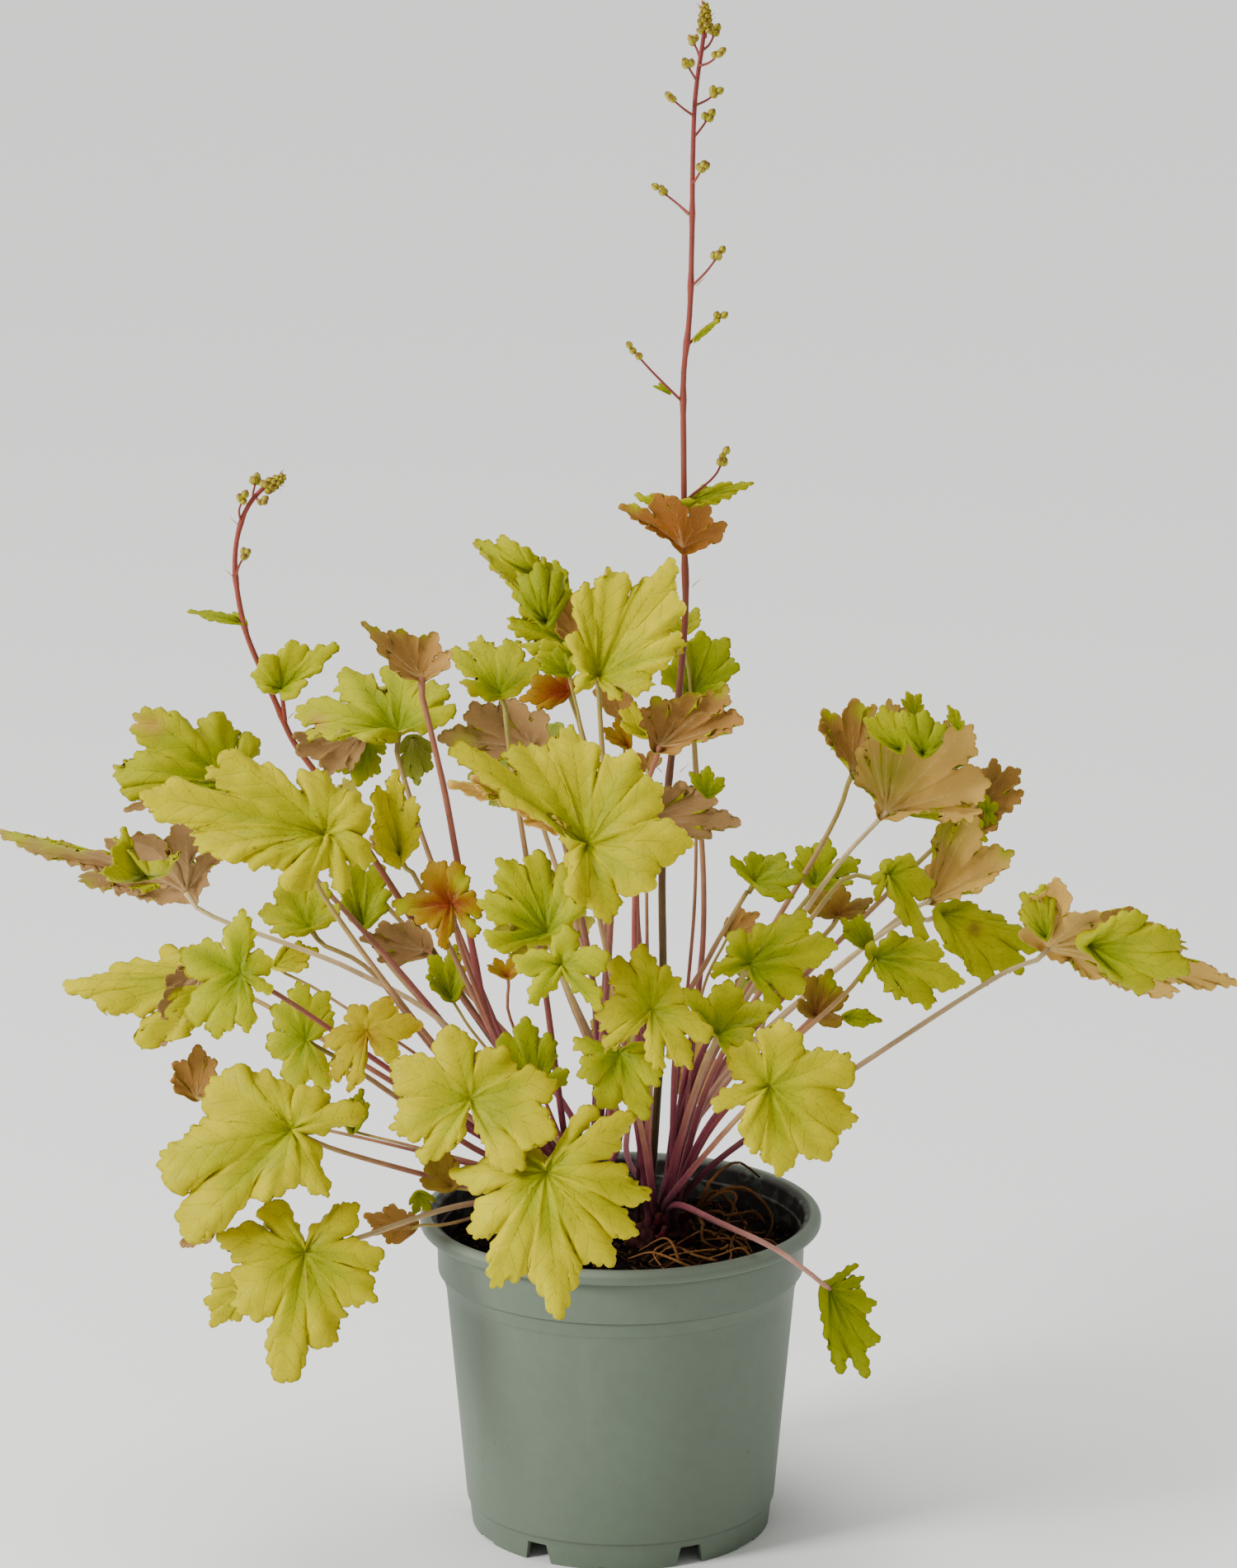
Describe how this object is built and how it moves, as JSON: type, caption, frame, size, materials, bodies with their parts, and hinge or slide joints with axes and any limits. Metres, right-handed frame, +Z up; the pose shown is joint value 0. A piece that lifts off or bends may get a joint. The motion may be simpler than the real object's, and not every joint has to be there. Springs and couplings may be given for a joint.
{
  "type": "potted heuchera plant",
  "caption": "Leafy garden perennial with lobed ruffled lime, yellow and bronze leaves on slender stalks and two budding flower stems, growing in a round sage-green plastic nursery pot.",
  "frame": {"origin": "centre of the pot's underside, on the surface that its feet stand on", "axes": "+Z up along the pot's axis, -Y toward the side shown in the picture, +X to the right in it"},
  "size_m": [0.5141, 0.2866, 0.645],
  "materials": {
    "dry_root": "dry fibrous root",
    "flower_stem": "red-brown stem with yellow-green buds",
    "leaf_amber": "soft matt amber leaf",
    "leaf_bronze": "soft matt bronze leaf",
    "leaf_green": "soft matt mid green leaf",
    "leaf_lime": "soft matt lime green leaf",
    "leaf_mauve": "soft matt leaf showing its mauve-brown underside",
    "leaf_peach": "soft matt leaf showing its peach underside",
    "leaf_yellow": "soft matt yellow leaf",
    "peat": "damp dark peat",
    "pot_plastic": "matt moulded sage green plastic",
    "stalk": "downy stalk, burgundy below and tan above"
  },
  "bodies": {
    "root": {"pot": "pot_plastic", "soil": "peat", "crown_and_stalks": "stalk", "tall_stem": "flower_stem", "left_stem": "flower_stem", "dry_roots": "dry_root", "leafFarLeft": "leaf_mauve", "leafUpperLeft": "leaf_lime", "leafBigYellow": "leaf_yellow", "leafMidYellow": "leaf_yellow", "leafTopLeft": "leaf_lime", "leafStalkTop": "leaf_peach", "leafFan": "leaf_lime", "leafBehindCentre": "leaf_mauve", "leafCurlyTop": "leaf_lime", "leafBigBright": "leaf_yellow", "leafCentre": "leaf_yellow", "leafCentreLeft": "leaf_lime", "leafCentreLow": "leaf_lime", "leafBehindRight": "leaf_green", "leafCuppedBrown": "leaf_bronze", "leafBrownRight": "leaf_mauve", "leafRightOne": "leaf_green", "leafRightBack": "leaf_green", "leafRightRed": "leaf_bronze", "leafRightFront": "leaf_lime", "leafRightBronze": "leaf_bronze", "leafRightMid": "leaf_lime", "leafHood": "leaf_lime", "leafRightFar": "leaf_green", "leafPeach": "leaf_peach", "leafPeachBehind": "leaf_bronze", "leafFarBronze": "leaf_bronze", "leafPeachLow": "leaf_peach", "leafFarRight": "leaf_peach", "leafDome": "leaf_yellow", "leafDomeLow": "leaf_lime", "leafRightShade": "leaf_lime", "leafFrontRight": "leaf_yellow", "leafFrontBig": "leaf_yellow", "leafFrontLeft": "leaf_yellow", "leafLowLeft": "leaf_yellow", "leafLeftFront": "leaf_yellow", "leafLeftLime": "leaf_lime", "leafLeftAmber": "leaf_amber", "leafLeftUpper": "leaf_lime", "leafLeftLong": "leaf_yellow", "leafLeftInner": "leaf_lime", "leafOrange": "leaf_amber", "leafHanging": "leaf_green", "leafPaleFrontLeft": "leaf_green", "leafBackTop": "leaf_green", "leafBackLeft": "leaf_lime", "leafBackCentre": "leaf_lime", "leafBackRight": "leaf_green", "leafBackLow": "leaf_lime", "stemLeafBrown": "leaf_bronze", "stemLeafLime": "leaf_lime", "leftStemLeaf": "leaf_lime"}
  },
  "joints": []
}
